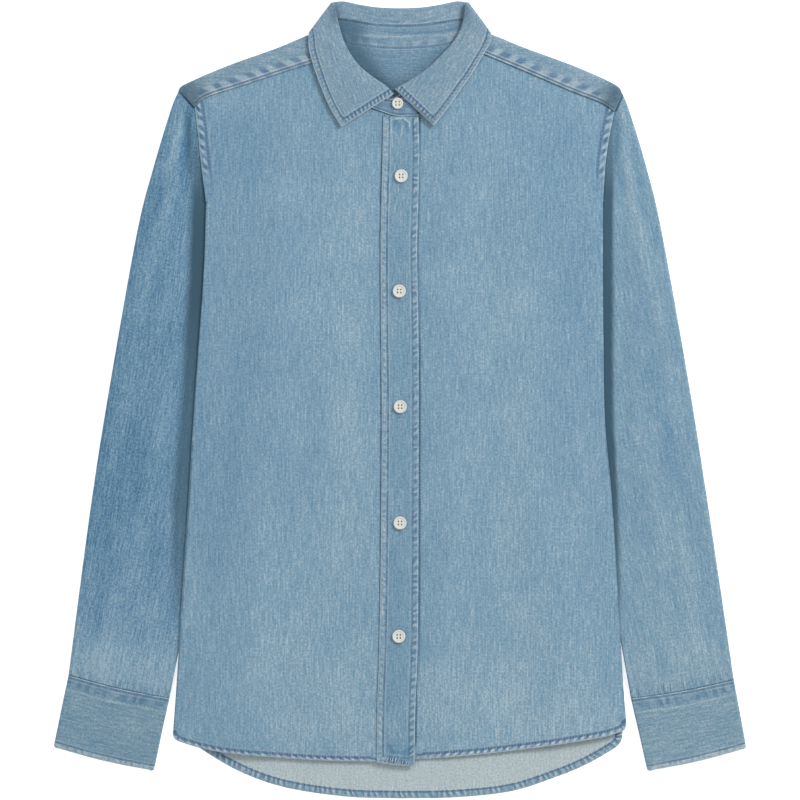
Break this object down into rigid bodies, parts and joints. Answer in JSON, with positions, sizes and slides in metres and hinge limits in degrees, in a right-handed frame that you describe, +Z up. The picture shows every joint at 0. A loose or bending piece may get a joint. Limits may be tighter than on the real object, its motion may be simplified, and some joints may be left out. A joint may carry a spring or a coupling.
{
  "type": "denim shirt",
  "caption": "Long-sleeved denim shirt with a folded collar, front placket, yoke and curved hem, buttoned and laid flat on its back.",
  "frame": {"origin": "centre of the shirt's outline, on the surface it lies on", "axes": "+Z up off the surface, out of the shirt's front; +Y towards the collar; -X towards the wearer's right sleeve"},
  "size_m": [0.638, 0.734, 0.0089],
  "materials": {
    "denim": "washed light blue denim with slubs, matt",
    "denim_band": "the same denim, doubled and stitched at the edges, with worn edges",
    "denim_inside": "inner side of the denim, paler and matt",
    "button": "off-white plastic, satin"
  },
  "bodies": {
    "root": {"back": "denim", "yoke": "denim", "yoke_inner": "denim_inside", "right_front": "denim", "left_front": "denim", "placket": "denim_band", "sleeve_right": "denim", "sleeve_left": "denim", "cuff_right": "denim_band", "cuff_left": "denim_band", "collar_stand": "denim_band", "collar": "denim_band", "button_1": "button", "button_2": "button", "button_3": "button", "button_4": "button", "button_5": "button", "button_6": "button"}
  },
  "joints": []
}
